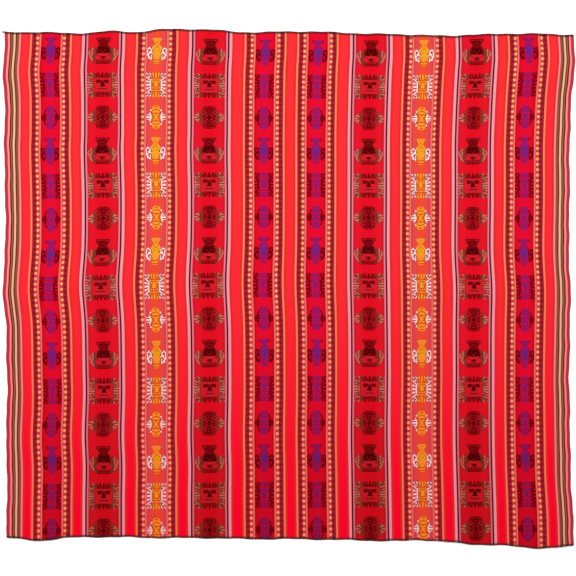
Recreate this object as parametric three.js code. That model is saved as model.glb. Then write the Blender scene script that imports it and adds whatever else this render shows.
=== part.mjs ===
// A warp-striped throw blanket of one woven cloth, lying flat with its right side up.
// Millimetres, +Z up, +X towards the right selvedge, +Y towards the top edge.
// A place on the cloth is given by across (mm from its middle line) and along (mm from its middle row).
import * as THREE from 'three';

// Cloth
const CLOTH_WIDTH = 1219;
const CLOTH_LENGTH = 1099;
const CLOTH_THICKNESS = 1.5;
const CELLS_ACROSS = 44;
const CELLS_ALONG = 38;

// Overlock stitch that binds the cut top and bottom edges
const STITCH_BITE = 4;
const STITCH_THREAD = 0.6;
const STITCH_SEAT_GAP = 0.3;
const STITCH_OVERHANG = 0.8;
const TAIL_REACH = 7;
const TAIL_RADIUS = 0.9;

// The thread under the cloth's edge props it up by its own thickness, and the cloth eases down within this reach
const EDGE_LIFT = STITCH_THREAD + STITCH_SEAT_GAP;
const EDGE_LIFT_REACH = 34;
const LEVEL_HEM = STITCH_BITE + 2;

// How far the warp stripes stray to the right at each section across the cloth, from the bottom edge up
const SWAY_COLUMNS = { left: -609.5, leftMiddle: -281, middle: 29, rightMiddle: 341, right: 609.5 };
const SWAY = [
  { along: -549.5, left: 3, leftMiddle: 0.5, middle: 3, rightMiddle: 6.5, right: 8.5 },
  { along: -465, left: 3.5, leftMiddle: 0, middle: 2, rightMiddle: 5, right: 6 },
  { along: -396, left: 4, leftMiddle: 1, middle: 1.5, rightMiddle: 3.5, right: 2.5 },
  { along: -327, left: 1.5, leftMiddle: -1, middle: 0.5, rightMiddle: 2, right: 1.5 },
  { along: -241, left: 5.5, leftMiddle: 0.5, middle: 1.5, rightMiddle: 2, right: 0 },
  { along: -189, left: 3.5, leftMiddle: 0.5, middle: 1.5, rightMiddle: 2.5, right: -1 },
  { along: -85, left: 1.5, leftMiddle: -1, middle: 1, rightMiddle: 2, right: 1 },
  { along: -16, left: -4.5, leftMiddle: -4.5, middle: -1.5, rightMiddle: 2.5, right: 2 },
  { along: 18, left: -4, leftMiddle: -4.5, middle: -2, rightMiddle: 2, right: 1.5 },
  { along: 87, left: 0, leftMiddle: -1, middle: -0.5, rightMiddle: -0.5, right: -1.5 },
  { along: 191, left: 0, leftMiddle: 0, middle: 0, rightMiddle: 0, right: 0 },
  { along: 295, left: -2.5, leftMiddle: -2, middle: 0, rightMiddle: 0, right: 0 },
  { along: 329, left: -1.5, leftMiddle: -1, middle: 0, rightMiddle: 0.5, right: 0.5 },
  { along: 415, left: -1.5, leftMiddle: -1, middle: 1, rightMiddle: 3.5, right: 4.5 },
  { along: 468, left: -4.5, leftMiddle: -0.5, middle: 2, rightMiddle: 6, right: 8.5 },
  { along: 502, left: -2.5, leftMiddle: 1.5, middle: 4, rightMiddle: 8, right: 11 },
  { along: 549.5, left: 0.5, leftMiddle: 2.5, middle: 4.5, rightMiddle: 7, right: 8.5 },
];

// How far the top and the bottom edge stray upwards (+Y) at each station across the cloth
const EDGE_RISE = [
  { across: -609.5, top: 4, bottom: 12 },
  { across: -540, top: 4, bottom: 6.5 },
  { across: -480, top: 2, bottom: 11.5 },
  { across: -440, top: 2, bottom: 13.5 },
  { across: -380, top: 6, bottom: 13.5 },
  { across: -328, top: 3.5, bottom: 13 },
  { across: -270, top: 10, bottom: 11.5 },
  { across: -175, top: 9.5, bottom: 11.5 },
  { across: -100, top: 3.5, bottom: 9.5 },
  { across: 30, top: 5.5, bottom: 9 },
  { across: 130, top: 2, bottom: 7 },
  { across: 240, top: -1, bottom: 5 },
  { across: 280, top: -1.5, bottom: 7 },
  { across: 341, top: -5.5, bottom: 3.5 },
  { across: 390, top: -1, bottom: -2 },
  { across: 450, top: -0.5, bottom: -4 },
  { across: 520, top: 1.5, bottom: -10 },
  { across: 575, top: -2, bottom: -7.5 },
  { across: 609.5, top: -1, bottom: -5 },
];

// Soft ripples that lift off the surface, one row for each. The crest runs along the heading (degrees from +X),
// reach is its half length, spread its half width
const RIPPLES = [
  { across: -328, along: 520, heading: 97, reach: 150, spread: 62, height: 4 },
  { across: -110, along: 525, heading: 82, reach: 120, spread: 58, height: 3 },
  { across: 341, along: 515, heading: 92, reach: 160, spread: 66, height: 5 },
  { across: -575, along: 455, heading: 172, reach: 160, spread: 60, height: 4 },
  { across: 560, along: 478, heading: 14, reach: 190, spread: 68, height: 5 },
  { across: -470, along: 0, heading: 4, reach: 280, spread: 70, height: 4.5 },
  { across: 430, along: -4, heading: 178, reach: 230, spread: 62, height: 3.5 },
  { across: -575, along: -236, heading: 9, reach: 140, spread: 60, height: 3.5 },
  { across: -535, along: -510, heading: 84, reach: 110, spread: 56, height: 3 },
  { across: 352, along: -505, heading: 100, reach: 150, spread: 60, height: 4 },
  { across: 560, along: -500, heading: 128, reach: 170, spread: 74, height: 5.5 },
];

const CLOTH_COLOUR = 0xd81a2b;
const STITCH_COLOUR = 0x2b0f14;

// The value at a place of a smooth curve through a table's rows, which are sorted by their place column
function curveThrough(rows, placeColumn, valueColumn, place) {
  const last = rows.length - 1;
  const placeOf = (row) => rows[row][placeColumn];
  const valueOf = (row) => rows[row][valueColumn];
  const slopeAt = (row) => {
    const before = Math.max(row - 1, 0);
    const after = Math.min(row + 1, last);
    return (valueOf(after) - valueOf(before)) / (placeOf(after) - placeOf(before));
  };
  const inside = THREE.MathUtils.clamp(place, placeOf(0), placeOf(last));
  const next = Math.max(1, rows.findIndex((row) => row[placeColumn] >= inside));
  const length = placeOf(next) - placeOf(next - 1);
  const share = (inside - placeOf(next - 1)) / length;
  const eased = THREE.MathUtils.smoothstep(share, 0, 1);
  const leaving = slopeAt(next - 1) * length * share * (1 - share) ** 2;
  const arriving = slopeAt(next) * length * share ** 2 * (share - 1);
  return THREE.MathUtils.lerp(valueOf(next - 1), valueOf(next), eased) + leaving + arriving;
}

// How far the cloth strays to the right at a place: each column read at this row, then blended across
function swayAt(across, along) {
  const columns = Object.entries(SWAY_COLUMNS).map(([column, place]) => ({
    place,
    sway: curveThrough(SWAY, 'along', column, along),
  }));
  return curveThrough(columns, 'place', 'sway', across);
}

// How far the cloth strays upwards at a place: the two edges' own strays, blended from bottom to top
function riseAt(across, along) {
  const share = along / CLOTH_LENGTH + 0.5;
  const top = curveThrough(EDGE_RISE, 'across', 'top', across);
  const bottom = curveThrough(EDGE_RISE, 'across', 'bottom', across);
  return THREE.MathUtils.lerp(bottom, top, share);
}

// One at the middle of a bump, falling softly to zero at one and beyond
function bump(distance) {
  return Math.abs(distance) < 1 ? Math.cos((Math.PI / 2) * distance) ** 2 : 0;
}

// Height of the cloth's underside: its ripples, and the lift where the stitch lies under it
function undersideAt(across, along) {
  const edge = CLOTH_LENGTH / 2 - LEVEL_HEM;
  const levelAlong = THREE.MathUtils.clamp(along, -edge, edge);
  const lift = EDGE_LIFT * bump((edge - Math.abs(levelAlong)) / EDGE_LIFT_REACH);
  const ripple = RIPPLES.reduce((sum, row) => {
    const heading = THREE.MathUtils.degToRad(row.heading);
    const right = across - row.across;
    const up = levelAlong - row.along;
    const onCrest = right * Math.cos(heading) + up * Math.sin(heading);
    const offCrest = up * Math.cos(heading) - right * Math.sin(heading);
    return sum + row.height * bump(onCrest / row.reach) * bump(offCrest / row.spread);
  }, 0);
  return lift + ripple;
}

// The point of the laid cloth that is at a height over its underside, or past an edge by an outward distance
function clothPoint(across, along, heightOver = 0, outwardX = 0, outwardY = 0) {
  return new THREE.Vector3(
    across + swayAt(across, along) + outwardX,
    along + riseAt(across, along) + outwardY,
    undersideAt(across, along) + heightOver,
  );
}

// Places along a length: even cells, with a narrow level cell at each end where asked
function stations(length, cells, endCell = 0) {
  const inner = length - 2 * endCell;
  const places = [];
  for (let i = 0; i <= cells; i += 1) {
    places.push(-inner / 2 + (inner * i) / cells);
  }
  return endCell > 0 ? [-length / 2, ...places, length / 2] : places;
}

// A closed solid between two equal grids of points, the front grid's faces looking along rows cross columns
function solidBetween(frontRows, backRows) {
  const rowCount = frontRows.length;
  const columnCount = frontRows[0].length;
  const points = [...frontRows.flat(), ...backRows.flat()];
  const front = (row, column) => row * columnCount + column;
  const back = (row, column) => rowCount * columnCount + front(row, column);
  const indices = [];
  const addQuad = (a, b, c, d) => indices.push(a, b, c, a, c, d);

  for (let row = 0; row < rowCount - 1; row += 1) {
    for (let column = 0; column < columnCount - 1; column += 1) {
      addQuad(front(row, column), front(row, column + 1), front(row + 1, column + 1), front(row + 1, column));
      addQuad(back(row, column), back(row + 1, column), back(row + 1, column + 1), back(row, column + 1));
    }
  }
  const lastRow = rowCount - 1;
  const lastColumn = columnCount - 1;
  for (let column = 0; column < lastColumn; column += 1) {
    addQuad(front(0, column), back(0, column), back(0, column + 1), front(0, column + 1));
    addQuad(front(lastRow, column), front(lastRow, column + 1), back(lastRow, column + 1), back(lastRow, column));
  }
  for (let row = 0; row < lastRow; row += 1) {
    addQuad(front(row, 0), front(row + 1, 0), back(row + 1, 0), back(row, 0));
    addQuad(front(row, lastColumn), back(row, lastColumn), back(row + 1, lastColumn), front(row + 1, lastColumn));
  }

  const geometry = new THREE.BufferGeometry();
  geometry.setFromPoints(points);
  geometry.setIndex(indices);
  geometry.computeVertexNormals();
  return geometry;
}

function namedMesh(name, geometry, colour, roughness) {
  const material = new THREE.MeshStandardMaterial({ color: colour, roughness, metalness: 0 });
  const mesh = new THREE.Mesh(geometry, material);
  mesh.name = name;
  return mesh;
}

// The woven cloth, one sheet from selvedge to selvedge
function makeCloth() {
  const acrossPlaces = stations(CLOTH_WIDTH, CELLS_ACROSS);
  const alongPlaces = stations(CLOTH_LENGTH, CELLS_ALONG, LEVEL_HEM);
  const gridAt = (height) =>
    alongPlaces.map((along) => acrossPlaces.map((across) => clothPoint(across, along, height)));
  return namedMesh('woven_cloth', solidBetween(gridAt(CLOTH_THICKNESS), gridAt(0)), CLOTH_COLOUR, 0.9);
}

// The overlock stitch of one edge: a channel of thread round the cut edge, in section an open mouth over the cloth.
// side is 1 at the top edge and -1 at the bottom edge
function makeOverlock(name, side, tailReach) {
  const edge = (side * CLOTH_LENGTH) / 2;
  const innerTop = CLOTH_THICKNESS + STITCH_SEAT_GAP;
  const outerTop = innerTop + STITCH_THREAD;
  const innerFace = STITCH_SEAT_GAP;
  const outerFace = innerFace + STITCH_THREAD;
  const section = {
    inner: [
      { outward: -STITCH_BITE, height: innerTop },
      { outward: innerFace, height: innerTop },
      { outward: innerFace, height: -STITCH_SEAT_GAP },
      { outward: -STITCH_BITE, height: -STITCH_SEAT_GAP },
    ],
    outer: [
      { outward: -STITCH_BITE, height: outerTop },
      { outward: outerFace, height: outerTop },
      { outward: outerFace, height: -EDGE_LIFT },
      { outward: -STITCH_BITE, height: -EDGE_LIFT },
    ],
  };
  const chainAt = (across, overhang, chain) =>
    chain.map(({ outward, height }) => clothPoint(across, edge, height, overhang, side * outward));

  const acrossPlaces = stations(CLOTH_WIDTH, CELLS_ACROSS);
  const left = acrossPlaces[0];
  const right = acrossPlaces[CELLS_ACROSS];
  const chains = (chain) => [
    chainAt(left, -STITCH_OVERHANG, chain),
    ...acrossPlaces.map((across) => chainAt(across, 0, chain)),
    chainAt(right, STITCH_OVERHANG, chain),
  ];
  const inner = chains(section.inner);
  const outer = chains(section.outer);
  if (tailReach > 0) {
    inner.unshift(...tailChains(left, edge, side, tailReach, 0.55));
    outer.unshift(...tailChains(left, edge, side, tailReach, 1));
  }
  const grids = side > 0 ? [inner, outer] : [outer, inner];
  return namedMesh(name, solidBetween(...grids), STITCH_COLOUR, 0.85);
}

// The thread tail that runs on past the cloth's corner, as two more sections of the channel drawn into a cord
function tailChains(across, edge, side, reach, fullness) {
  const middleHeight = CLOTH_THICKNESS / 2;
  const corners = [
    { outward: -1, height: 1 },
    { outward: 1, height: 1 },
    { outward: 1, height: -1 },
    { outward: -1, height: -1 },
  ];
  const ends = [
    { out: reach, radius: TAIL_RADIUS * 0.6 },
    { out: STITCH_OVERHANG + 1.2, radius: TAIL_RADIUS },
  ];
  return ends.map(({ out, radius }) =>
    corners.map((corner) => {
      const size = radius * fullness;
      const height = middleHeight + corner.height * size;
      return clothPoint(across, edge, height, -out, side * (corner.outward * size - 0.6));
    }));
}

const blanket = new THREE.Group();
blanket.add(makeCloth());
blanket.add(makeOverlock('overlock_top', 1, TAIL_REACH));
blanket.add(makeOverlock('overlock_bottom', -1, 0));

// The origin is the middle of the whole blanket's box, on the surface that it lies on
const box = new THREE.Box3().setFromObject(blanket);
const middle = box.getCenter(new THREE.Vector3());
blanket.position.set(-middle.x, -middle.y, -box.min.z);

export default blanket;
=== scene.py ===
"""A warp-striped throw blanket of one woven cloth, lying flat with its right side up.
Metres, +Z up, +X towards the right selvedge, +Y towards the top edge. Tables are in millimetres.
A place on the cloth is given by across (from its middle line) and along (from its middle row)."""

import math
from collections import namedtuple

import bpy
import numpy as np
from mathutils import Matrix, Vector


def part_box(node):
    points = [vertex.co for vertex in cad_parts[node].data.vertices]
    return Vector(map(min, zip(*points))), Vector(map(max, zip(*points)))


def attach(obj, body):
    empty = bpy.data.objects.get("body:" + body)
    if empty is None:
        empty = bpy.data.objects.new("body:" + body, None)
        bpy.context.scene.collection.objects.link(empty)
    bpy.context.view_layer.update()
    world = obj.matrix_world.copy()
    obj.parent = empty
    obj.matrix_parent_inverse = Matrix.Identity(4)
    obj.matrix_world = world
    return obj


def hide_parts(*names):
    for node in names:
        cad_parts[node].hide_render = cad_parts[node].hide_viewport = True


MM = 0.001

# Cloth
CLOTH_WIDTH = 1219.0
CLOTH_LENGTH = 1099.0
CLOTH_THICKNESS = 1.5
CELLS_ACROSS = 208
CELLS_ALONG = 188
SELVEDGE_FACETS = 4
SHARP_ANGLE = 60
BAKE_MARGIN = 0.002

# Stations along a cut edge at which its own box is read
EDGE_STATIONS = 45

# Overlock stitch that binds the cut top and bottom edges
STITCH_BITE = 4.0
STITCH_THREAD = 0.6
STITCH_SEAT_GAP = 0.3
STITCH_OVERHANG = 0.32
STITCH_PITCH = 1.9
PITCH_STRAY = 0.03
BITE_STRAY = 0.12
THREAD_SIDES = 5

# The loose ends of the stitch's threads, twisted together past the top left corner
TAIL_STRANDS = 3
TAIL_STATIONS = 26
TAIL_ROOT = -1.0
TAIL_REACH = 7.0
TAIL_SHORTENING = 0.12
TAIL_TWIST = 1.35
TAIL_RADIUS = 0.9
TAIL_FULLNESS = 1.2
TAIL_TAPER = 0.5
TAIL_INSET = 0.6
TAIL_DRIFT = 0.05
STRAND_FULLNESS = 2.0
STRAND_TAPER = 0.6

# The thread under the cloth's edge props it up. The hem over it is level, and past that the cloth eases down
EDGE_LIFT = STITCH_THREAD + STITCH_SEAT_GAP
EDGE_LIFT_REACH = 34.0
HEM_MARGIN = 2.0
LEVEL_HEM = STITCH_BITE + HEM_MARGIN

# How far the warp stripes stray to the right at each section across the cloth, from the bottom edge up
SWAY_PLACES = (-609.5, -281, 29, 341, 609.5)
Sway = namedtuple("Sway", "along left left_middle middle right_middle right")
SWAY = (
    Sway(-549.5, 3, 0.5, 3, 6.5, 8.5),
    Sway(-465, 3.5, 0, 2, 5, 6),
    Sway(-396, 4, 1, 1.5, 3.5, 2.5),
    Sway(-327, 1.5, -1, 0.5, 2, 1.5),
    Sway(-241, 5.5, 0.5, 1.5, 2, 0),
    Sway(-189, 3.5, 0.5, 1.5, 2.5, -1),
    Sway(-85, 1.5, -1, 1, 2, 1),
    Sway(-16, -4.5, -4.5, -1.5, 2.5, 2),
    Sway(18, -4, -4.5, -2, 2, 1.5),
    Sway(87, 0, -1, -0.5, -0.5, -1.5),
    Sway(191, 0, 0, 0, 0, 0),
    Sway(295, -2.5, -2, 0, 0, 0),
    Sway(329, -1.5, -1, 0, 0.5, 0.5),
    Sway(415, -1.5, -1, 1, 3.5, 4.5),
    Sway(468, -4.5, -0.5, 2, 6, 8.5),
    Sway(502, -2.5, 1.5, 4, 8, 11),
    Sway(549.5, 0.5, 2.5, 4.5, 7, 8.5),
)

# How far the top and the bottom edge stray upwards at each station across the cloth
Rise = namedtuple("Rise", "across top bottom")
EDGE_RISE = (
    Rise(-609.5, 4, 12),
    Rise(-540, 4, 6.5),
    Rise(-480, 2, 11.5),
    Rise(-440, 2, 13.5),
    Rise(-380, 6, 13.5),
    Rise(-328, 3.5, 13),
    Rise(-270, 10, 11.5),
    Rise(-175, 9.5, 11.5),
    Rise(-100, 3.5, 9.5),
    Rise(30, 5.5, 9),
    Rise(130, 2, 7),
    Rise(240, -1, 5),
    Rise(280, -1.5, 7),
    Rise(341, -5.5, 3.5),
    Rise(390, -1, -2),
    Rise(450, -0.5, -4),
    Rise(520, 1.5, -10),
    Rise(575, -2, -7.5),
    Rise(609.5, -1, -5),
)

# Small waves of the cloth's four edges, which fade out within their reach. A phase says where they start
WAVE_REACH = 36.0
WAVE_HEIGHT = 0.9
LONG_WAVE = 118.0
SHORT_WAVE = 47.0
SHORT_WAVE_SHARE = 0.5
SHORT_WAVE_SHIFT = 2.4
WavePhase = namedtuple("WavePhase", "left right bottom top")
WAVE_PHASE = WavePhase(left=0.4, right=2.1, bottom=1.3, top=3.3)

# Soft ripples that lift off the surface. The crest runs along the heading (degrees from +X),
# reach is its half length, spread its half width
Ripple = namedtuple("Ripple", "across along heading reach spread height")
RIPPLES = (
    Ripple(-328, 520, 97, 150, 62, 4),
    Ripple(-110, 525, 82, 120, 58, 3),
    Ripple(341, 515, 92, 160, 66, 5),
    Ripple(-575, 455, 172, 160, 60, 4),
    Ripple(560, 478, 14, 190, 68, 5),
    Ripple(-470, 0, 4, 280, 70, 4.5),
    Ripple(430, -4, 178, 230, 62, 3.5),
    Ripple(-575, -236, 9, 140, 60, 3.5),
    Ripple(-535, -510, 84, 110, 56, 3),
    Ripple(352, -505, 100, 150, 60, 4),
    Ripple(560, -500, 128, 170, 74, 5.5),
)

# Warp plan. A stripe place is the distance from the middle of the warp, below zero on the left half.
# Each row says how far to the right of it that stripe lies on the cloth
StripeStray = namedtuple("StripeStray", "stripe right")
STRIPE_STRAY = (
    StripeStray(-595, 6),
    StripeStray(-364, 5),
    StripeStray(-26, 6),
    StripeStray(86, 5),
    StripeStray(135, 2),
    StripeStray(318, -0.5),
    StripeStray(442, -3.5),
    StripeStray(595, -5.5),
)

# Figured bands of half the warp, from the middle outwards: a band's kind, its middle, and where its share
# of the warp ends
Band = namedtuple("Band", "kind middle end")
BANDS = (
    Band("violet", 56.5, 113.2),
    Band("wide", 173.8, 232.3),
    Band("amber", 288.0, 345.6),
    Band("wide", 402.8, 460.1),
    Band("violet", 516.0, 560.0),
)

# Half widths of the fields that hold the figures
NARROW_FIELD = 20.5
WIDE_FIELD = 32.9

# Weft plan. One cycle of the figures is jar, sun and cross, and the cloth shows nearly five of them.
# The first starts this far above the middle row, and each is longer than the last by twice the growth
CYCLE_START = 514.0
CYCLE_LENGTH = 214.9
CYCLE_GROWTH = 1.62
ROWS_IN_CYCLE = 114
DOTS_IN_CYCLE = 19
DOT_PHASE = 0.45

# Figures of one cycle in order: where a figure's share starts, its middle, and which figure it is
Figure = namedtuple("Figure", "start middle jar sun cross")
FIGURE_ORDER = (
    Figure(0.0, 0.0, 1, 0, 0),
    Figure(0.167, 0.334, 0, 1, 0),
    Figure(0.496, 0.657, 0, 0, 1),
    Figure(0.829, 1.0, 1, 0, 0),
)

# How far the weft rows of one cycle place drop below the level in the middle of each figured band,
# the bands counted from the left
DROP_PLACES = (-510, -284, -52, 285, 511)
Drop = namedtuple("Drop", "cycle left left_middle middle right_middle right")
DROP = (
    Drop(0, 2, 3, 7, 8, 2),
    Drop(1, 3, 1, 2, 4, 1),
    Drop(2, 5, -1, -3, 0, 2),
    Drop(3, 2, -1, -5, -3, -2),
    Drop(4.5, 1, 0, -2, -4, -4),
)
DROP_ROUNDS = 4

# Figure charts, one character a cell and one line a weft row, from the figure's middle line outwards:
# a hash is figure yarn, a dot is ground. The figures are the same on both sides of that line
CHART_ROWS = 32
WIDE_CELLS = 16
NARROW_CELLS = 10

# A sun is a face in a square of rays. These are the faces, and the rays follow by rule: they end this many
# rows from the middle, and start at this share of the way out
SUN_REACH = 13.6
SUN_CLEAR = 0.58
WIDE_RAYS = 8
NARROW_RAYS = 6
WIDE_FACE = """
........
..#####.
######..
...####.
##.###..
##......
##......
##......
###.....
........
........
#####...
........
........
"""
NARROW_FACE = """
#####.
....##
####.#
#.##.#
##.#.#
##...#
##.#.#
##...#
##.#.#
...#.#
####.#
.....#
#...##
#####.
"""

WIDE_JAR = """
#######.........
......##........
####..#.........
######..........
.#####..........
#.###...........
##.##...........
####............
.###............
#.###...........
######..........
#####.##........
######.##..##...
##.####.####.#..
#####.##.#.##.#.
#.#####.##.#.##.
.######.#.##.#.#
####..##.#.##.##
......##..##.##.
.......##..#.##.
....#...##.##.#.
##......##..##..
#.#......##.##..
##.......#.##...
........##.##...
#.##.#..#.##....
......##.##.....
########.#......
......###.......
#######.........
................
................
"""

WIDE_CROSS_TOP = """
................
................
................
####............
....##..........
###...#.........
######..........
..#..###........
###.....##......
.#####....#.....
#....###...#....
###....###.#....
..###....#.###..
#...##.##.######
##.#.#.#.##.....
##.#.#.#.#..####
"""

NARROW_JAR = """
#####.....
####.#....
#.###.....
####......
###.......
.##.......
##........
###.......
#.##......
####......
.####.....
##.##..##.
#####.####
####.##..#
#.##.#...#
####.##.##
###..###.#
########.#
#####..###
####.#..##
####.#..##
####.#.##.
##.#.#.##.
####.####.
##.#.##...
.....#....
####......
###.......
..........
###.......
..........
..........
"""

NARROW_CROSS_TOP = """
..........
..........
..........
###.......
..##......
####......
####......
..####....
##..##....
####.#....
####..#...
......#...
.###.##...
###..#####
#.#.##....
##..######
"""

# How much brighter than a white card the laid cloth is lit, and how much light the palest yarn gives back
LIGHT_GAIN = 1.37
BRIGHTEST_YARN = 0.97


def curve_through(places, values, at):
    """A smooth curve through a table's rows, read at many places. Values may differ from place to place."""
    places = np.asarray(places, float)
    values = np.asarray(values, float)
    if values.ndim == 1:
        values = np.repeat(values[:, None], at.size, axis=1)
    rows = np.arange(len(places))
    before = np.maximum(rows - 1, 0)
    after = np.minimum(rows + 1, len(rows) - 1)
    slopes = (values[after] - values[before]) / (places[after] - places[before])[:, None]
    inside = np.clip(at, places[0], places[-1])
    high = np.clip(np.searchsorted(places, inside), 1, len(rows) - 1)
    low = high - 1
    point = np.arange(at.size)
    length = places[high] - places[low]
    share = (inside - places[low]) / length
    eased = share**2 * (3 - 2 * share)
    leaving = slopes[low, point] * length * share * (1 - share) ** 2
    arriving = slopes[high, point] * length * share**2 * (share - 1)
    return values[low, point] * (1 - eased) + values[high, point] * eased + leaving + arriving


def column(rows, name):
    return [getattr(row, name) for row in rows]


def sway_at(across, along):
    """How far the cloth strays to the right: each column read at this row, then blended across."""
    stations = column(SWAY, "along")
    columns = [curve_through(stations, column(SWAY, name), along) for name in Sway._fields[1:]]
    return curve_through(SWAY_PLACES, columns, across)


def rise_at(across, along):
    """How far the cloth strays upwards: the two edges' own strays, blended from bottom to top."""
    share = along / CLOTH_LENGTH + 0.5
    top = curve_through(column(EDGE_RISE, "across"), column(EDGE_RISE, "top"), across)
    bottom = curve_through(column(EDGE_RISE, "across"), column(EDGE_RISE, "bottom"), across)
    return bottom * (1 - share) + top * share


def bump(distance):
    """One at the middle of a bump, falling softly to zero at one and beyond."""
    return np.where(np.abs(distance) < 1, np.cos(np.pi / 2 * distance) ** 2, 0)


def underside_at(across, along):
    """Height of the cloth's underside: its ripples, and the lift where the stitch lies under it."""
    edge = CLOTH_LENGTH / 2 - LEVEL_HEM
    level = np.clip(along, -edge, edge)
    height = EDGE_LIFT * bump((edge - np.abs(level)) / EDGE_LIFT_REACH)
    for row in RIPPLES:
        heading = math.radians(row.heading)
        right = across - row.across
        up = level - row.along
        on_crest = right * math.cos(heading) + up * math.sin(heading)
        off_crest = up * math.cos(heading) - right * math.sin(heading)
        height = height + row.height * bump(on_crest / row.reach) * bump(off_crest / row.spread)
    return height


def wave(place, from_edge, phase):
    """One edge's small waves, a long one and a short one together, faded with the distance from the edge."""
    long_wave = np.sin(2 * np.pi * place / LONG_WAVE + phase)
    short_wave = np.sin(2 * np.pi * place / SHORT_WAVE + SHORT_WAVE_SHIFT * phase)
    return WAVE_HEIGHT * (long_wave + SHORT_WAVE_SHARE * short_wave) * bump(from_edge / WAVE_REACH)


def waves_at(across, along):
    """How far the small waves of the selvedges and of the cut edges move the cloth, right and up."""
    half_width = CLOTH_WIDTH / 2
    half_length = CLOTH_LENGTH / 2
    left_selvedge = wave(along, half_width + across, WAVE_PHASE.left)
    right_selvedge = wave(along, half_width - across, WAVE_PHASE.right)
    bottom_edge = wave(across, half_length + along, WAVE_PHASE.bottom)
    top_edge = wave(across, half_length - along, WAVE_PHASE.top)
    return left_selvedge + right_selvedge, bottom_edge + top_edge


def cloth_points(across, along, height_over=0.0, outward_y=0.0, origin=(0.0, 0.0, 0.0), wavy=True):
    """Points of the laid cloth in metres, at a height over its underside.
    Past a selvedge its last line runs on."""
    across = np.asarray(across, float)
    along = np.broadcast_to(np.asarray(along, float), across.shape)
    inside = np.clip(across, -CLOTH_WIDTH / 2, CLOTH_WIDTH / 2)
    right, up = waves_at(inside, along) if wavy else (0.0, 0.0)
    points = np.stack(
        [
            across + sway_at(inside, along) + right + origin[0],
            along + rise_at(inside, along) + up + outward_y + origin[1],
            underside_at(inside, along) + height_over + origin[2],
        ],
        axis=-1,
    )
    return points * MM


def new_piece(name, points, faces, material):
    """A smooth-shaded mesh object of one material."""
    mesh = bpy.data.meshes.new(name)
    mesh.from_pydata(points.tolist(), [], faces)
    mesh.polygons.foreach_set("use_smooth", [True] * len(mesh.polygons))
    mesh.materials.append(material)
    mesh.update()
    piece = bpy.data.objects.new(name, mesh)
    bpy.context.scene.collection.objects.link(piece)
    return piece


def cloth_section():
    """Once round the cloth's section as (across, height) pairs: top, one selvedge, underside, other one."""
    half = CLOTH_WIDTH / 2
    radius = CLOTH_THICKNESS / 2
    flat = np.linspace(-(half - radius), half - radius, CELLS_ACROSS + 1)
    turn = np.linspace(0, np.pi, SELVEDGE_FACETS + 1)[1:-1]
    right = [(half - radius + radius * math.sin(a), radius + radius * math.cos(a)) for a in turn]
    left = [(-across, CLOTH_THICKNESS - height) for across, height in right]
    top = [(across, CLOTH_THICKNESS) for across in flat]
    bottom = [(across, 0.0) for across in flat[::-1]]
    return np.array(top + right + bottom + left)


def cloth_rows():
    """Places along the cloth: even cells, with a narrow level cell at each cut edge."""
    edge = CLOTH_LENGTH / 2
    inner = edge - LEVEL_HEM
    return np.concatenate([[-edge], np.linspace(-inner, inner, CELLS_ALONG + 1), [edge]])


def stripe_at(across):
    """Stripe place of the warp ends at these places across: straight between the table's rows and beyond."""
    stripes = np.array(column(STRIPE_STRAY, "stripe"), float)
    places = stripes + column(STRIPE_STRAY, "right")
    inside = np.interp(across, places, stripes)
    return inside + np.minimum(across - places[0], 0) + np.maximum(across - places[-1], 0)


def cycle_at(across, down):
    """Cycle place of the weft rows that lie this far below the top reference line."""
    stations = column(DROP, "cycle")
    cycle = down / CYCLE_LENGTH
    for _ in range(DROP_ROUNDS):
        columns = [curve_through(stations, column(DROP, name), cycle) for name in Drop._fields[1:]]
        level = down - curve_through(DROP_PLACES, columns, across)
        root = np.sqrt(np.maximum(CYCLE_LENGTH**2 + 4 * CYCLE_GROWTH * level, 1.0))
        cycle = (root - CYCLE_LENGTH) / (2 * CYCLE_GROWTH)
    return cycle


def make_cloth(origin, material):
    """The cloth as one closed sheet: rings round its section, joined along it and capped at both ends."""
    section = cloth_section()
    rows = cloth_rows()
    ring = len(section)
    across = np.tile(section[:, 0], len(rows))
    height = np.tile(section[:, 1], len(rows))
    along = np.repeat(rows, ring)
    points = cloth_points(across, along, height, origin=origin)

    faces = []
    for row in range(len(rows) - 1):
        start = row * ring
        for i in range(ring):
            j = (i + 1) % ring
            faces.append((start + i, start + j, start + ring + j, start + ring + i))
    last = (len(rows) - 1) * ring
    count = CELLS_ACROSS + 1
    turn = SELVEDGE_FACETS - 1
    bottom = count + turn
    for i in range(count - 1):
        under = bottom + count - 1 - i
        faces.append((i, under, under - 1, i + 1))
        faces.append((last + i, last + i + 1, last + under - 1, last + under))
    right_end = [count - 1 + i for i in range(turn + 2)]
    left_end = [bottom + count - 1 + i for i in range(turn + 1)] + [0]
    for end in (right_end, left_end):
        faces.append(tuple(reversed(end)))
        faces.append(tuple(last + i for i in end))

    piece = new_piece("woven_blanket", points, faces, material)
    mesh = piece.data
    mesh.set_sharp_from_angle(angle=math.radians(SHARP_ANGLE))

    down = CYCLE_START - (points[:, 1] / MM - origin[1])
    stripe = stripe_at(across)
    place = np.stack([stripe, cycle_at(across, down), along / CLOTH_LENGTH + 0.5], axis=-1)
    attribute = mesh.attributes.new("weave_place", "FLOAT_VECTOR", "POINT")
    attribute.data.foreach_set("vector", place.astype(np.float32).ravel())

    flat = np.stack([across / CLOTH_WIDTH + 0.5, along / CLOTH_LENGTH + 0.5], axis=-1)
    add_bake_map(mesh, BAKE_MARGIN + (1 - 2 * BAKE_MARGIN) * flat)
    return piece


def add_bake_map(mesh, flat):
    """A flat map of the cloth, from each vertex's place on it."""
    corners = np.zeros(len(mesh.loops), np.int32)
    mesh.loops.foreach_get("vertex_index", corners)
    layer = mesh.uv_layers.new(name="OFBake")
    layer.data.foreach_set("uv", flat[corners].astype(np.float32).ravel())


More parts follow.
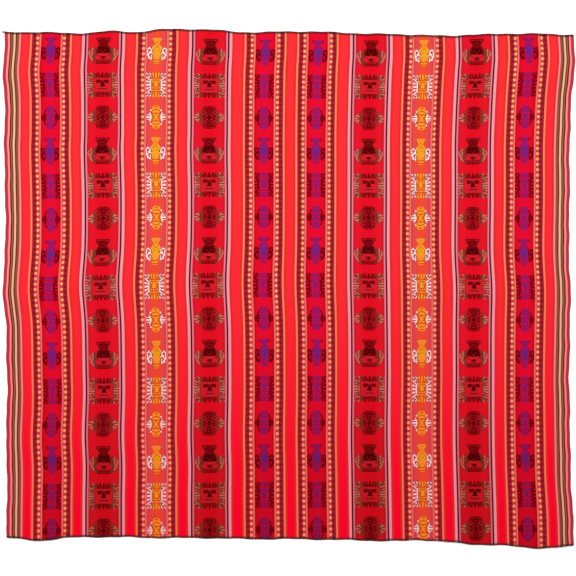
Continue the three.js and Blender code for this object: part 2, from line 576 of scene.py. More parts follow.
def tube(centres, radii):
    """Points and faces of a round tube along a path, closed at both ends."""
    centres = np.asarray(centres, float)
    radii = np.broadcast_to(radii, len(centres))
    tangent = np.gradient(centres, axis=0)
    tangent /= np.linalg.norm(tangent, axis=1)[:, None]
    side = np.zeros_like(tangent)
    nearly_upright = 0.9
    starts_level = abs(tangent[0, 2]) < nearly_upright
    guide = np.array([0.0, 0.0, 1.0] if starts_level else [0.0, 1.0, 0.0])
    for i, direction in enumerate(tangent):
        guide = guide - direction * (guide @ direction)
        guide /= np.linalg.norm(guide)
        side[i] = guide
    other = np.cross(tangent, side)
    turn = np.linspace(0, 2 * np.pi, THREAD_SIDES, endpoint=False)
    around = np.cos(turn)[:, None] * side[:, None] + np.sin(turn)[:, None] * other[:, None]
    points = (centres[:, None] + radii[:, None, None] * around).reshape(-1, 3)
    faces = []
    for i in range(len(centres) - 1):
        for j in range(THREAD_SIDES):
            k = (j + 1) % THREAD_SIDES
            start = i * THREAD_SIDES
            faces.append((start + j, start + k, start + THREAD_SIDES + k, start + THREAD_SIDES + j))
    faces.append(tuple(range(THREAD_SIDES))[::-1])
    faces.append(tuple((len(centres) - 1) * THREAD_SIDES + j for j in range(THREAD_SIDES)))
    return points, faces


# One stitch of each thread, as shares of the pitch, outward distance from the cut edge and height over the
# underside. The lower looper is the upper one turned over. Turns further in than this line stray in depth
INNER_LINE = -2.5
Turn = namedtuple("Turn", "share outward height")
UPPER_LOOPER = (
    Turn(0.00, -3.9, 1.62),
    Turn(0.16, -3.0, 1.92),
    Turn(0.34, -1.2, 1.94),
    Turn(0.46, 0.1, 1.72),
    Turn(0.52, 0.42, 0.85),
    Turn(0.60, 0.1, 1.70),
    Turn(0.72, -1.2, 1.92),
    Turn(0.88, -3.0, 1.90),
)
NEEDLE_THREAD = (
    Turn(0.00, -3.95, 1.35),
    Turn(0.18, -3.95, 1.88),
    Turn(0.50, -3.95, 1.98),
    Turn(0.82, -3.95, 1.88),
)
EDGE_THREAD = (
    Turn(0.00, 0.40, 1.30),
    Turn(0.25, 0.52, 0.95),
    Turn(0.50, 0.40, 0.25),
    Turn(0.75, 0.52, 0.60),
)


def stitched_path(turns, turned_over, rng):
    """One thread's whole run along an edge, each stitch a little different from the next."""
    start = -CLOTH_WIDTH / 2 - STITCH_OVERHANG
    count = int((CLOTH_WIDTH + 2 * STITCH_OVERHANG) / STITCH_PITCH)
    across, outward, height = [], [], []
    for stitch in range(count):
        pitch_chance, bite_chance = rng.normal(0, 1, 2)
        for turn in turns:
            across.append(start + (stitch + turn.share + PITCH_STRAY * pitch_chance) * STITCH_PITCH)
            outward.append(turn.outward + (BITE_STRAY * bite_chance if turn.outward < INNER_LINE else 0))
            height.append(CLOTH_THICKNESS - turn.height if turned_over else turn.height)
    return np.array(across), np.array(outward), np.array(height)


def tail_path(strand):
    """One strand of the thread tail: its reach past the selvedge, outward distance and height."""
    reach = np.linspace(TAIL_ROOT, TAIL_REACH * (1.0 - TAIL_SHORTENING * strand), TAIL_STATIONS)
    twist = reach * TAIL_TWIST + strand * 2 * np.pi / TAIL_STRANDS
    spread = TAIL_RADIUS * np.clip(TAIL_FULLNESS - reach / TAIL_REACH * TAIL_TAPER, 0, 1)
    outward = -TAIL_INSET + spread * np.cos(twist) + TAIL_DRIFT * reach
    height = CLOTH_THICKNESS / 2 + spread * np.sin(twist)
    return reach, outward, height


def make_overlock(name, side, origin, material, seed, tail):
    """The stitch along one cut edge (side 1 is the top, -1 the bottom), with or without the thread tail."""
    rng = np.random.default_rng(seed)
    edge = side * CLOTH_LENGTH / 2
    points, faces = [], []

    def add(tube_points, tube_faces):
        offset = sum(len(p) for p in points)
        points.append(tube_points)
        faces.extend(tuple(offset + i for i in face) for face in tube_faces)

    radius = STITCH_THREAD / 2 * MM
    threads = ((UPPER_LOOPER, False), (UPPER_LOOPER, True), (NEEDLE_THREAD, False), (EDGE_THREAD, False))
    for turns, turned_over in threads:
        across, outward, height = stitched_path(turns, turned_over, rng)
        add(*tube(cloth_points(across, edge, height, side * outward, origin), radius))
    for strand in range(TAIL_STRANDS if tail else 0):
        reach, outward, height = tail_path(strand)
        thickness = radius * (STRAND_FULLNESS - STRAND_TAPER * np.clip(reach / TAIL_REACH, 0, 1))
        centres = cloth_points(-CLOTH_WIDTH / 2 - reach, edge, height, side * outward, origin)
        add(*tube(centres, thickness))
    return new_piece(name, np.concatenate(points), faces, material)


class Nodes:
    """Short hands for building a material's node tree."""

    def __init__(self, name):
        self.material = bpy.data.materials.new(name)
        self.material.use_nodes = True
        self.tree = self.material.node_tree
        self.tree.nodes.clear()

    def node(self, kind, **settings):
        made = self.tree.nodes.new(kind)
        for name, value in settings.items():
            setattr(made, name, value)
        return made

    def join(self, value, socket):
        if isinstance(value, bpy.types.NodeSocket):
            self.tree.links.new(value, socket)
        else:
            socket.default_value = value

    def math(self, operation, *values):
        made = self.node("ShaderNodeMath", operation=operation)
        for value, socket in zip(values, made.inputs):
            self.join(value, socket)
        return made.outputs[0]

    def vector_math(self, operation, *values):
        made = self.node("ShaderNodeVectorMath", operation=operation)
        for value, socket in zip(values, made.inputs):
            self.join(value, socket)
        return made.outputs["Value" if operation == "DOT_PRODUCT" else "Vector"]

    def mix(self, share, first, second):
        """Two colours mixed. The node's colour sockets come after its number and vector ones."""
        made = self.node("ShaderNodeMix", data_type="RGBA")
        self.join(share, made.inputs["Factor"])
        self.join(first, made.inputs[6])
        self.join(second, made.inputs[7])
        return made.outputs[2]

    def split(self, value):
        made = self.node("ShaderNodeSeparateXYZ")
        self.join(value, made.inputs[0])
        return made.outputs

    def combine(self, x, y, z):
        made = self.node("ShaderNodeCombineXYZ")
        for value, socket in zip((x, y, z), made.inputs):
            self.join(value, socket)
        return made.outputs[0]

    def ramp(self, place, stops, interpolation="CONSTANT"):
        """A colour ramp of (place, colour) stops."""
        made = self.node("ShaderNodeValToRGB")
        ramp = made.color_ramp
        ramp.interpolation = interpolation
        ramp.elements[0].position = stops[0][0]
        ramp.elements[1].position = stops[1][0]
        while len(ramp.elements) < len(stops):
            ramp.elements.new(stops[len(ramp.elements)][0])
        for element, (position, colour) in zip(ramp.elements, stops):
            element.position = position
            element.color = (*colour[:3], 1.0)
        self.join(place, made.inputs[0])
        return made.outputs[0]

    def share(self, place, stops):
        """A plain number that runs straight between (place, number) stops."""
        greys = [(position, (number, number, number)) for position, number in stops]
        return self.split(self.ramp(place, greys, "LINEAR"))[0]

    def noise(self, place, scale):
        made = self.node("ShaderNodeTexNoise")
        self.join(place, made.inputs["Vector"])
        made.inputs["Scale"].default_value = scale
        made.inputs["Detail"].default_value = 2.0
        return made.outputs["Fac"]

    def white_noise(self, place):
        made = self.node("ShaderNodeTexWhiteNoise", noise_dimensions="3D")
        self.join(place, made.inputs["Vector"])
        return made.outputs["Value"]

    def relief(self, height, strength, distance):
        made = self.node("ShaderNodeBump")
        made.inputs["Strength"].default_value = strength
        made.inputs["Distance"].default_value = distance
        self.join(height, made.inputs["Height"])
        return made.outputs[0]

    def surface(self, colour, roughness, specular, normal=None):
        """Ends the tree in a surface with these looks, and gives the material."""
        shader = self.node("ShaderNodeBsdfPrincipled")
        self.join(colour, shader.inputs["Base Color"])
        self.join(roughness, shader.inputs["Roughness"])
        self.join(specular, shader.inputs["Specular IOR Level"])
        if normal is not None:
            self.join(normal, shader.inputs["Normal"])
        out = self.node("ShaderNodeOutputMaterial")
        self.join(shader.outputs[0], out.inputs[0])
        return self.material


def dye(red, green, blue):
    """The scene-linear colour of a yarn that shows as these 0 to 255 screen values on the lit cloth."""
    shares = [value / 255 for value in (red, green, blue)]
    linear = [s / 12.92 if s <= 0.04045 else ((s + 0.055) / 1.055) ** 2.4 for s in shares]
    return tuple(min(value / LIGHT_GAIN, BRIGHTEST_YARN) for value in linear)


def chart_rows(text):
    """A chart's lines, the top one first."""
    return text.strip("\n").split("\n")


def is_yarn(rows, row, cell):
    """Whether this cell of a chart is figure yarn. Left of the middle line the chart is mirrored."""
    cell = cell if cell >= 0 else -1 - cell
    return 0 <= row < len(rows) and cell < len(rows[0]) and rows[row][cell] == "#"


def is_shaded(rows, row, cell):
    """Whether this cell shows both yarns: ground between a figure's strokes, or the thin end of a stroke."""
    beside = ((row - 1, cell), (row + 1, cell), (row, cell - 1), (row, cell + 1))
    count = sum(is_yarn(rows, *place) for place in beside)
    return count <= 1 if is_yarn(rows, row, cell) else count >= 2


def row_code(rows, row, shows):
    """A chart row as a number whose binary digits are the cells that show, the middle cell first."""
    return sum(1 << cell for cell in range(len(rows[0])) if shows(rows, row, cell))


def chart_stops(charts, cells, shows):
    """Ramp stops that hold the row codes of jar, sun and cross as red, green and blue."""
    scale = float(1 << cells)
    all_rows = [chart_rows(chart) for chart in charts]
    return [
        (row / CHART_ROWS, [row_code(rows, row, shows) / scale for rows in all_rows])
        for row in range(CHART_ROWS)
    ]


def sun_chart(cells, face, ray_count):
    """A sun's chart: the face, and round it rays that all point away from the middle."""
    face_rows = chart_rows(face)
    first = (CHART_ROWS - len(face_rows)) // 2
    lines = []
    for row in range(CHART_ROWS):
        up = abs(row + 0.5 - CHART_ROWS / 2) / SUN_REACH
        beside_face = face_rows[row - first] if first <= row < first + len(face_rows) else ""
        rays = ""
        for cell in range(len(beside_face), cells):
            out = (cell + 0.5) / cells
            slope = min(out, up) / max(out, up)
            on_ray = math.floor(slope * ray_count + 0.5) % 2 == 0
            rays += "#" if on_ray and SUN_CLEAR <= max(out, up) <= 1 else "."
        lines.append(beside_face + rays)
    return "\n".join(lines)


def mirrored(top):
    """A chart whose lower half mirrors its upper half."""
    rows = chart_rows(top)
    return "\n".join(rows + rows[::-1])


SCARLET = dye(251, 40, 52)

# Warp stripes beside a figured field, by distance from the field's middle line
Stripe = namedtuple("Stripe", "start colour")
NARROW_BORDER = (
    Stripe(0.0, dye(228, 10, 40)),
    Stripe(21.0, dye(243, 112, 120)),
    Stripe(24.3, dye(196, 60, 50)),
    Stripe(31.6, dye(170, 30, 38)),
    Stripe(38.8, dye(145, 24, 28)),
    Stripe(40.5, dye(254, 128, 96)),
    Stripe(44.8, dye(228, 46, 38)),
    Stripe(49.0, SCARLET),
)
WIDE_BORDER = (
    Stripe(0.0, dye(226, 20, 40)),
    Stripe(33.5, dye(242, 126, 144)),
    Stripe(36.6, dye(70, 16, 36)),
    Stripe(40.3, dye(252, 157, 163)),
    Stripe(46.0, dye(224, 46, 54)),
    Stripe(51.0, SCARLET),
)

# Where the plain scarlet beside a border starts, and where a wide band's crimson ends
NARROW_EDGE = NARROW_BORDER[-1].start
WIDE_EDGE = WIDE_BORDER[-1].start
WIDE_CRIMSON_END = WIDE_BORDER[2].start

# Warp stripes of the selvedge, by distance from the middle of the warp
SELVEDGE_STRIPES = (
    Stripe(560.0, SCARLET),
    Stripe(576.6, dye(224, 44, 54)),
    Stripe(580.6, dye(255, 138, 134)),
    Stripe(584.6, dye(152, 80, 58)),
    Stripe(589.2, dye(110, 54, 26)),
    Stripe(591.9, dye(243, 190, 156)),
    Stripe(596.2, dye(106, 46, 20)),
    Stripe(598.5, dye(176, 98, 72)),
    Stripe(600.9, dye(104, 20, 10)),
    Stripe(603.6, dye(255, 146, 144)),
    Stripe(607.9, dye(192, 54, 66)),
)

# Where the selvedge's own stripes take over from the last band, and where the plain scarlet ends
SELVEDGE_START = SELVEDGE_STRIPES[0].start
PLAIN_END = SELVEDGE_STRIPES[1].start
BAND_OVERRUN = 1.5

# Widths that the colour ramps of the bands, of one band's borders and of the selvedge cover
BAND_SPAN = 650.0
BORDER_SPAN = 65.0
SELVEDGE_SPAN = 60.0

# Whether a kind of band is amber, and whether it is wide
BAND_KINDS = {"violet": (0, 0), "amber": (1, 0), "wide": (0, 1)}

# Dots in the narrow borders: middle and half width in millimetres, half length as a share of the dots' step
Dot = namedtuple("Dot", "middle width length roundness colour")
ORANGE_DOT = Dot(28.5, 3.1, 0.29, 2.2, dye(255, 168, 114))
PLUM_DOT = Dot(35.3, 3.0, 0.24, 2.0, dye(132, 18, 56))

# Colours of a field by share of its half width: its ground, gaps, figure yarn and mixed yarn.
# With them, the fuller yarn at a figure's core, and how much of it is in the mixed yarn there
Tones = namedtuple("Tones", "ground gap yarn mixed core core_in_mixed")
VIOLET = Tones(
    ground=(
        (0.0, dye(229, 10, 54)),
        (0.3, dye(232, 11, 45)),
        (0.65, dye(230, 11, 35)),
        (0.78, dye(226, 12, 35)),
        (0.88, dye(204, 12, 35)),
    ),
    gap=((0.0, dye(196, 14, 62)), (0.4, dye(185, 8, 42)), (0.55, dye(176, 6, 26))),
    yarn=((0.0, dye(148, 24, 102)), (0.42, dye(130, 8, 40)), (0.55, dye(104, 0, 8))),
    mixed=((0.0, dye(168, 18, 84)), (0.42, dye(155, 8, 40)), (0.55, dye(142, 4, 18))),
    core=dye(108, 34, 130),
    core_in_mixed=0.6,
)
AMBER = Tones(
    ground=(
        (0.0, dye(240, 77, 50)),
        (0.32, dye(238, 73, 54)),
        (0.5, dye(237, 73, 64)),
        (0.75, dye(231, 72, 72)),
        (0.88, dye(216, 70, 70)),
    ),
    gap=((0.0, dye(202, 62, 6)), (0.4, dye(168, 60, 28)), (0.55, dye(134, 32, 36))),
    yarn=((0.0, dye(252, 150, 48)), (0.42, dye(255, 180, 114)), (0.5, dye(255, 218, 212))),
    mixed=((0.0, dye(240, 120, 36)), (0.42, dye(242, 136, 92)), (0.55, dye(246, 160, 155))),
    core=dye(240, 164, 32),
    core_in_mixed=0.6,
)
WIDE = Tones(
    ground=(
        (0.0, dye(228, 13, 34)),
        (0.35, dye(231, 14, 35)),
        (0.55, dye(234, 17, 37)),
        (0.8, dye(231, 23, 43)),
        (0.92, dye(206, 26, 44)),
    ),
    gap=((0.0, dye(163, 14, 25)), (0.36, dye(152, 16, 24)), (0.65, dye(138, 12, 24))),
    yarn=(
        (0.0, dye(110, 2, 6)),
        (0.14, dye(118, 6, 9)),
        (0.3, dye(126, 10, 14)),
        (0.44, dye(122, 62, 42)),
        (0.64, dye(204, 118, 100)),
    ),
    mixed=(
        (0.0, dye(126, 8, 16)),
        (0.3, dye(140, 12, 18)),
        (0.42, dye(148, 48, 40)),
        (0.6, dye(194, 80, 72)),
    ),
    core=dye(80, 1, 4),
    core_in_mixed=0.2,
)

# Ground that takes on some figure yarn in the middle of a wide field, and how much of it by share and by row
WORKED_GROUND = dye(206, 34, 44)
WORKED_SHARE = ((0.0, 1), (0.3, 0.8), (0.6, 0))
WORKED_ROWS = ((0.1, 0), (0.2, 1), (0.8, 1), (0.9, 0))

# Where the fuller core yarn is: the share of the half width that it fills, how strong it is in the jar,
# the sun and the cross, and in which of their rows
CORE_SHARE = 0.42
CORE_STRENGTH = (1.0, 0.35, 0.35)
CORE_ROWS = ((0.28, 0), (0.36, 1), (0.54, 1), (0.6, 0))

# Painted light falloff from the bottom edge to the top one: the cloth is painted deeper towards the bottom
# and paler towards the top. What every yarn is multiplied by, what the fields of crimson ground are
# multiplied by as well, and the plain scarlet itself
YARN_PAINTED_FALLOFF = (
    (0.0, (0.94, 0.72, 0.78)),
    (0.3, (0.96, 0.80, 0.84)),
    (0.6, (1.0, 1.0, 1.0)),
    (1.0, (1.0, 1.02, 1.0)),
)
CRIMSON_PAINTED_FALLOFF = (
    (0.0, (0.78, 0.84, 0.66)),
    (0.15, (0.85, 0.88, 0.74)),
    (0.3, (0.95, 0.96, 0.92)),
    (0.42, (1.0, 1.0, 1.0)),
)
SCARLET_PAINTED_FALLOFF = (
    (0.03, dye(250, 2, 38)),
    (0.18, dye(251, 14, 42)),
    (0.45, dye(251, 41, 50)),
    (0.75, dye(252, 48, 54)),
)

# Weave: the width of one warp end, how far in rows its floats stray from the row, how round an end and a
# float are, and how much of the relief is the float's
THREAD_WIDTH = 0.62
FLOAT_STRAY = 0.4
END_ROUNDNESS = 0.6
FLOAT_ROUNDNESS = 0.5
FLOAT_SHARE = 0.75

# How far each end and each float brighten their yarn, and how far the relief does, which paints shade into
# the grooves between threads; and what they start from
Spread = namedtuple("Spread", "gain least")
END_SHADE = Spread(0.05, 0.965)
FLOAT_SHADE = Spread(0.04, 0.98)
RELIEF_SHADE = Spread(0.16, 0.90)
CLOTH_ROUGHNESS = Spread(0.08, 0.88)
CLOTH_SPECULAR = 0.02

# What lifts the surface beside the weave: figures, and fibres that are this many a millimetre and a cycle
FIGURE_LIFT = 0.5
FIBRE_LIFT = 0.25
FIBRES_ACROSS = 6.0
FIBRES_IN_CYCLE = 400.0
CLOTH_BUMP = 0.6
CLOTH_BUMP_HEIGHT = 0.00025


def figure_row(nodes, cycle):
    """A weft row's place in its figure's chart: the row's share, which figure it is, and if it has one."""
    cycle_share = nodes.math("FRACT", cycle)
    middles = [(row.start, (row.middle, 0, 0)) for row in FIGURE_ORDER]
    middle = nodes.split(nodes.ramp(cycle_share, middles))[0]
    chosen = nodes.ramp(cycle_share, [(row.start, (row.jar, row.sun, row.cross)) for row in FIGURE_ORDER])
    from_middle = nodes.math("SUBTRACT", cycle_share, middle)
    row = nodes.math("FLOOR", nodes.math("MULTIPLY_ADD", from_middle, ROWS_IN_CYCLE, CHART_ROWS / 2))
    below_top = nodes.math("GREATER_THAN", row, -0.5)
    above_bottom = nodes.math("LESS_THAN", row, CHART_ROWS - 0.5)
    row_share = nodes.math("DIVIDE", nodes.math("ADD", row, 0.5), CHART_ROWS)
    return row_share, chosen, nodes.math("MULTIPLY", below_top, above_bottom)


def chart_mask(nodes, distance, charted_row, charts, cells, field, shows):
    """One in the cells that show in the figures' charts, zero elsewhere."""
    row_share, chosen, has_row = charted_row
    codes = nodes.ramp(row_share, chart_stops(charts, cells, shows))
    scaled = nodes.vector_math("DOT_PRODUCT", codes, chosen)
    code = nodes.math("MULTIPLY_ADD", scaled, float(1 << cells), 0.5)
    cell = nodes.math("FLOOR", nodes.math("DIVIDE", distance, field / cells))
    shifted = nodes.math("FLOOR", nodes.math("DIVIDE", code, nodes.math("POWER", 2.0, cell)))
    digit = nodes.math("FLOORED_MODULO", shifted, 2.0)
    in_field = nodes.math("LESS_THAN", distance, field)
    return nodes.math("MULTIPLY", nodes.math("MULTIPLY", digit, has_row), in_field)


def core_strength(nodes, charted_row):
    """How much of the fuller core yarn this row of its figure takes."""
    row_share, chosen, _ = charted_row
    strength = nodes.vector_math("DOT_PRODUCT", chosen, CORE_STRENGTH)
    return nodes.math("MULTIPLY", nodes.share(row_share, CORE_ROWS), strength)


def field_tones(nodes, share, tones, core):
    """The colours of ground, gap, figure yarn and mixed yarn at this share of a field's half width."""
    ground = nodes.ramp(share, tones.ground, "LINEAR")
    gap, yarn, mixed = [nodes.ramp(share, stops) for stops in (tones.gap, tones.yarn, tones.mixed)]
    in_core = nodes.math("MULTIPLY", core, nodes.math("LESS_THAN", share, CORE_SHARE))
    yarn = nodes.mix(in_core, yarn, (*tones.core, 1))
    mixed = nodes.mix(nodes.math("MULTIPLY", in_core, tones.core_in_mixed), mixed, (*tones.core, 1))
    return ground, gap, yarn, mixed


def figured_field(nodes, distance, charted_row, charts, cells, field, tones):
    """A field's colour, and the mask of its figure yarn."""
    ground, gap, yarn, mixed = tones
    in_yarn = chart_mask(nodes, distance, charted_row, charts, cells, field, is_yarn)
    in_shade = chart_mask(nodes, distance, charted_row, charts, cells, field, is_shaded)
    behind = nodes.mix(in_shade, ground, gap)
    figure = nodes.mix(in_shade, yarn, mixed)
    return nodes.mix(in_yarn, behind, figure), in_yarn


def striped(nodes, distance, stripes, span):
    """The colour of a run of warp stripes at this distance."""
    first = stripes[0].start
    place = nodes.math("DIVIDE", nodes.math("SUBTRACT", distance, first), span)
    return nodes.ramp(place, [((stripe.start - first) / span, stripe.colour) for stripe in stripes])


def oval(nodes, along, across, roundness):
    """One inside an oval whose half length and half width are one."""
    sides = [nodes.math("POWER", nodes.math("ABSOLUTE", side), roundness) for side in (along, across)]
    return nodes.math("LESS_THAN", nodes.math("ADD", *sides), 1.0)


def with_dots(nodes, narrow, distance, cycle):
    """The narrow borders' dots: pale orange ovals, and plum specks half a step on."""
    steps = nodes.math("MULTIPLY_ADD", cycle, float(DOTS_IN_CYCLE), 0.5 - DOT_PHASE)
    for dot, step in ((ORANGE_DOT, 0.0), (PLUM_DOT, 0.5)):
        share = nodes.math("FRACT", nodes.math("ADD", steps, step))
        along = nodes.math("DIVIDE", nodes.math("SUBTRACT", share, 0.5), dot.length)
        across = nodes.math("DIVIDE", nodes.math("SUBTRACT", distance, dot.middle), dot.width)
        narrow = nodes.mix(oval(nodes, along, across, dot.roundness), narrow, (*dot.colour, 1))
    return narrow


def narrow_band(nodes, distance, cycle, charted_row, core, is_amber):
    """Colour of a violet or amber band, and the mask of its figure yarn."""
    border = with_dots(nodes, striped(nodes, distance, NARROW_BORDER, BORDER_SPAN), distance, cycle)
    share = nodes.math("DIVIDE", distance, NARROW_FIELD)
    both = [field_tones(nodes, share, tones, core) for tones in (VIOLET, AMBER)]
    tones = [nodes.mix(is_amber, violet, amber) for violet, amber in zip(*both)]
    charts = (NARROW_JAR, sun_chart(NARROW_CELLS, NARROW_FACE, NARROW_RAYS), mirrored(NARROW_CROSS_TOP))
    field, figure = figured_field(nodes, distance, charted_row, charts, NARROW_CELLS, NARROW_FIELD, tones)
    return nodes.mix(nodes.math("LESS_THAN", distance, NARROW_FIELD), border, field), figure


def wide_band(nodes, distance, charted_row, core):
    """Colour of a wide band, and the mask of its figure yarn."""
    border = striped(nodes, distance, WIDE_BORDER, BORDER_SPAN)
    share = nodes.math("DIVIDE", distance, WIDE_FIELD)
    ground, *yarns = field_tones(nodes, share, WIDE, core)
    worked_row = nodes.share(charted_row[0], WORKED_ROWS)
    worked = nodes.math("MULTIPLY", nodes.share(share, WORKED_SHARE), worked_row)
    ground = nodes.mix(worked, ground, (*WORKED_GROUND, 1))
    charts = (WIDE_JAR, sun_chart(WIDE_CELLS, WIDE_FACE, WIDE_RAYS), mirrored(WIDE_CROSS_TOP))
    tones = (ground, *yarns)
    field, figure = figured_field(nodes, distance, charted_row, charts, WIDE_CELLS, WIDE_FIELD, tones)
    return nodes.mix(nodes.math("LESS_THAN", distance, WIDE_FIELD), border, field), figure


def band_at(nodes, distance_out):
    """The band of this stripe: the distance from the band's middle line, and if it is amber or wide."""
    starts = [0.0] + [band.end for band in BANDS[:-1]]
    stops = [
        (start / BAND_SPAN, (band.middle / BAND_SPAN, *BAND_KINDS[band.kind]))
        for start, band in zip(starts, BANDS)
    ]
    band = nodes.ramp(nodes.math("DIVIDE", distance_out, BAND_SPAN), stops)
    middle, is_amber, is_wide = nodes.split(band)
    from_middle = nodes.math("SUBTRACT", distance_out, nodes.math("MULTIPLY", middle, BAND_SPAN))
    return nodes.math("ABSOLUTE", from_middle), is_amber, is_wide


def with_painted_falloff(nodes, colour, level, distance, distance_out, is_amber, is_wide):
    """Painted light falloff: the yarns are painted deeper towards the bottom edge, the plain scarlet most of
    all.
    """
    colour = nodes.vector_math("MULTIPLY", colour, nodes.ramp(level, YARN_PAINTED_FALLOFF, "LINEAR"))
    crimson_end = nodes.math("MULTIPLY_ADD", is_wide, WIDE_CRIMSON_END - NARROW_FIELD, NARROW_FIELD)
    not_amber = nodes.math("SUBTRACT", 1.0, is_amber)
    in_crimson = nodes.math("MULTIPLY", nodes.math("LESS_THAN", distance, crimson_end), not_amber)
    painted_deeper = nodes.vector_math("MULTIPLY", colour, nodes.ramp(level, CRIMSON_PAINTED_FALLOFF, "LINEAR"))
    colour = nodes.mix(in_crimson, colour, painted_deeper)
    scarlet = nodes.ramp(level, SCARLET_PAINTED_FALLOFF, "LINEAR")
    plain_start = nodes.math("MULTIPLY_ADD", is_wide, WIDE_EDGE - NARROW_EDGE, NARROW_EDGE)
    past_border = nodes.math("GREATER_THAN", distance, plain_start)
    before_selvedge = nodes.math("LESS_THAN", distance_out, PLAIN_END)
    return nodes.mix(nodes.math("MULTIPLY", past_border, before_selvedge), colour, scarlet)


def weave_at(nodes, stripe, cycle):
    """A chance for each warp end and for each of its floats, and the relief of the threads."""
    end = nodes.math("DIVIDE", stripe, THREAD_WIDTH)
    end_number = nodes.math("FLOOR", end)
    end_chance = nodes.white_noise(nodes.combine(end_number, 0.0, 0.0))
    brick = nodes.math("MULTIPLY", nodes.math("FLOORED_MODULO", end_number, 2.0), 0.5)
    pick = nodes.math("ADD", nodes.math("MULTIPLY", cycle, float(ROWS_IN_CYCLE)), brick)
    float_seed = 3.0
    float_chance = nodes.white_noise(nodes.combine(end_number, nodes.math("FLOOR", pick), float_seed))
    across_end = nodes.math("SINE", nodes.math("MULTIPLY", nodes.math("FRACT", end), math.pi))
    along_float = nodes.math("SINE", nodes.math("MULTIPLY", nodes.math("FRACT", pick), math.pi))
    end_height = nodes.math("POWER", across_end, END_ROUNDNESS)
    float_height = nodes.math("POWER", along_float, FLOAT_ROUNDNESS)
    float_part = nodes.math("MULTIPLY_ADD", float_height, FLOAT_SHARE, 1 - FLOAT_SHARE)
    return end_chance, float_chance, nodes.math("MULTIPLY", end_height, float_part)


def cloth_material():
    nodes = Nodes("woven_cloth_finish")
    place = nodes.node("ShaderNodeAttribute", attribute_name="weave_place")
    stripe, cycle, level = nodes.split(place.outputs["Vector"])
    end_chance, float_chance, relief = weave_at(nodes, stripe, cycle)

    # Each end's floats start and stop a little off the row
    stray = nodes.math("SUBTRACT", end_chance, 0.5)
    ragged = nodes.math("MULTIPLY_ADD", stray, FLOAT_STRAY / ROWS_IN_CYCLE, cycle)

    # Colour of the bands and of the selvedge
    distance_out = nodes.math("ABSOLUTE", stripe)
    distance, is_amber, is_wide = band_at(nodes, distance_out)
    charted_row = figure_row(nodes, ragged)
    core = core_strength(nodes, charted_row)
    narrow, narrow_figure = narrow_band(nodes, distance, ragged, charted_row, core, is_amber)
    wide, wide_figure = wide_band(nodes, distance, charted_row, core)
    colour = nodes.mix(is_wide, narrow, wide)
    selvedge = striped(nodes, distance_out, SELVEDGE_STRIPES, SELVEDGE_SPAN)
    in_selvedge = nodes.math("GREATER_THAN", distance_out, SELVEDGE_START + BAND_OVERRUN)
    colour = nodes.mix(in_selvedge, colour, selvedge)
    # Painted light falloff: deeper towards the bottom edge, paler towards the top
    colour = with_painted_falloff(nodes, colour, level, distance, distance_out, is_amber, is_wide)

    # Ends, floats and the shade between threads
    shade = nodes.math("MULTIPLY_ADD", end_chance, *END_SHADE)
    shade = nodes.math("MULTIPLY", shade, nodes.math("MULTIPLY_ADD", float_chance, *FLOAT_SHADE))
    shade = nodes.math("MULTIPLY", shade, nodes.math("MULTIPLY_ADD", relief, *RELIEF_SHADE))
    shaded = nodes.vector_math("MULTIPLY", colour, nodes.combine(shade, shade, shade))

    # Height of the weave, with figures a little proud and fine fibres
    narrow_part = nodes.math("MULTIPLY", narrow_figure, nodes.math("SUBTRACT", 1.0, is_wide))
    figure = nodes.math("MULTIPLY_ADD", wide_figure, is_wide, narrow_part)
    fibre_across = nodes.math("MULTIPLY", stripe, FIBRES_ACROSS)
    fibre_along = nodes.math("MULTIPLY", cycle, FIBRES_IN_CYCLE)
    fibre = nodes.noise(nodes.combine(fibre_across, fibre_along, 0.0), 1.0)
    height = nodes.math("MULTIPLY_ADD", figure, FIGURE_LIFT, relief)
    height = nodes.math("MULTIPLY_ADD", fibre, FIBRE_LIFT, height)
    normal = nodes.relief(height, CLOTH_BUMP, CLOTH_BUMP_HEIGHT)
    roughness = nodes.math("MULTIPLY_ADD", float_chance, *CLOTH_ROUGHNESS)
    return nodes.surface(shaded, roughness, CLOTH_SPECULAR, normal)


def thread_material():
    """Dark spun thread: a fine twist, with flecks of a redder fibre."""
    twist_rate = 12000.0
    fleck_scale = 900.0
    nodes = Nodes("edge_thread_finish")
    place = nodes.node("ShaderNodeTexCoord").outputs["Object"]
    x, y, z = nodes.split(place)
    slant = nodes.math("ADD", nodes.math("ADD", x, y), z)
    twist = nodes.math("SINE", nodes.math("MULTIPLY", slant, twist_rate))
    fleck = nodes.noise(place, fleck_scale)
    tone = nodes.math("MULTIPLY_ADD", twist, 0.2, fleck)
    colour = nodes.ramp(tone, [(0.2, dye(20, 6, 9)), (0.85, dye(70, 16, 26))], "LINEAR")
    normal = nodes.relief(tone, 0.5, 0.0001)
    return nodes.surface(colour, nodes.math("MULTIPLY_ADD", fleck, 0.2, 0.6), 0.25, normal)


def floor_material():
    """Plain white card with a faint mottle."""
    nodes = Nodes("plain_floor")
    mottle = nodes.noise(nodes.node("ShaderNodeTexCoord").outputs["Object"], 3.0)
    return nodes.surface(nodes.share(mottle, ((0.3, 0.93), (0.7, 0.95))), 0.9, 0.1)


def make_floor():
    """A wide floor, a little under the cloth so that the two faces don't meet."""
    half = 8.0
    drop = 0.0004
    points = half * np.array([(-1, -1, 0), (1, -1, 0), (1, 1, 0), (-1, 1, 0)])
    floor = new_piece("floor", points, [(0, 1, 2, 3)], floor_material())
    floor.location.z = -drop


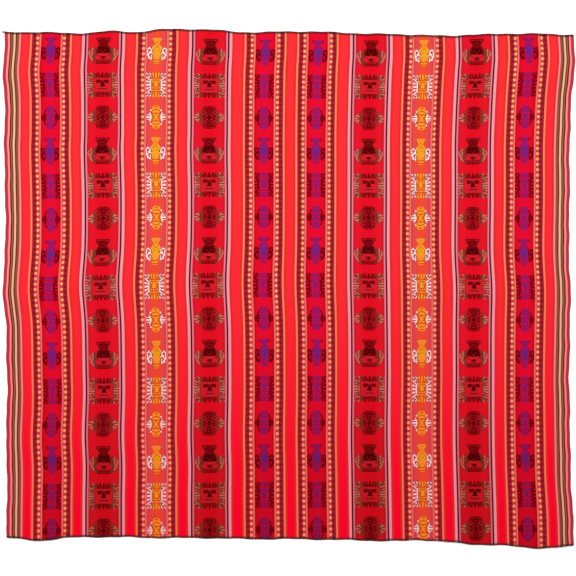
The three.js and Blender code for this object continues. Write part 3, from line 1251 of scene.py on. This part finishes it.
def make_lights():
    """Even light from all round, and a broad panel overhead towards the top edge."""
    world = bpy.data.worlds.new("soft_studio")
    bpy.context.scene.world = world
    world.use_nodes = True
    background = world.node_tree.nodes["Background"]
    background.inputs["Color"].default_value = (1, 1, 1, 1)
    background.inputs["Strength"].default_value = 0.62
    panel = bpy.data.lights.new("overhead_panel", "AREA")
    panel.shape = "RECTANGLE"
    panel.size = 5.0
    panel.size_y = 3.0
    panel.energy = 230.0
    lamp = bpy.data.objects.new("overhead_panel", panel)
    bpy.context.scene.collection.objects.link(lamp)
    lamp.location = (-0.6, 1.6, 4.2)
    direction = -lamp.location
    lamp.rotation_mode = "QUATERNION"
    lamp.rotation_quaternion = direction.to_track_quat("-Z", "Y")


def make_camera():
    """A camera straight above the cloth, as far up as the width that it sees asks for."""
    view_width = 1.2442
    view_middle = (-0.0009, 0.0011)
    data = bpy.data.cameras.new("camera")
    data.sensor_width = 36.0
    data.lens = 70.0
    camera = bpy.data.objects.new("camera", data)
    bpy.context.scene.collection.objects.link(camera)
    camera.location = (*view_middle, view_width * data.lens / data.sensor_width)
    bpy.context.scene.camera = camera


def own_origin():
    """The shift from the tables' own middle to the frame, read off the cloth's CAD node."""
    rows = cloth_rows()
    selvedges = np.repeat([-CLOTH_WIDTH / 2, CLOTH_WIDTH / 2], len(rows))
    points = cloth_points(selvedges, np.tile(rows, 2), wavy=False)
    low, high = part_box("woven_cloth")
    stations = np.linspace(-CLOTH_WIDTH / 2, CLOTH_WIDTH / 2, EDGE_STATIONS)
    top = cloth_points(stations, CLOTH_LENGTH / 2, wavy=False)
    bottom = cloth_points(stations, -CLOTH_LENGTH / 2, wavy=False)
    x = (low.x + high.x) / 2 - (points[:, 0].min() + points[:, 0].max()) / 2
    y = (low.y + high.y) / 2 - (top[:, 1].max() + bottom[:, 1].min()) / 2
    return (x / MM, y / MM, 0.0)


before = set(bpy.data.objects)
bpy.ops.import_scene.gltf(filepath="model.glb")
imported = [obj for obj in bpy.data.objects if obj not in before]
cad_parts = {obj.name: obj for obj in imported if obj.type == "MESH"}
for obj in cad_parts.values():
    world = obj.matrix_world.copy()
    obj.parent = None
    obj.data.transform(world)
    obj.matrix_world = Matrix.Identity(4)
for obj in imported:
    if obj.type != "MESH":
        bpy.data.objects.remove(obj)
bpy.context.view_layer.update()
scene = bpy.context.scene
scene.view_settings.view_transform = "Standard"
scene.view_settings.look = "None"

origin = own_origin()
blanket = make_cloth(origin, cloth_material())
thread_finish = thread_material()
overlock_top = make_overlock("overlock_thread_top", 1, origin, thread_finish, 11, True)
overlock_bottom = make_overlock("overlock_thread_bottom", -1, origin, thread_finish, 12, False)
for piece, node, slot in (
    (blanket, "woven_cloth", "cloth"),
    (overlock_top, "overlock_top", "edge_thread"),
    (overlock_bottom, "overlock_bottom", "edge_thread"),
):
    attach(piece, "root")
    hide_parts(node)
make_floor()
make_lights()
make_camera()
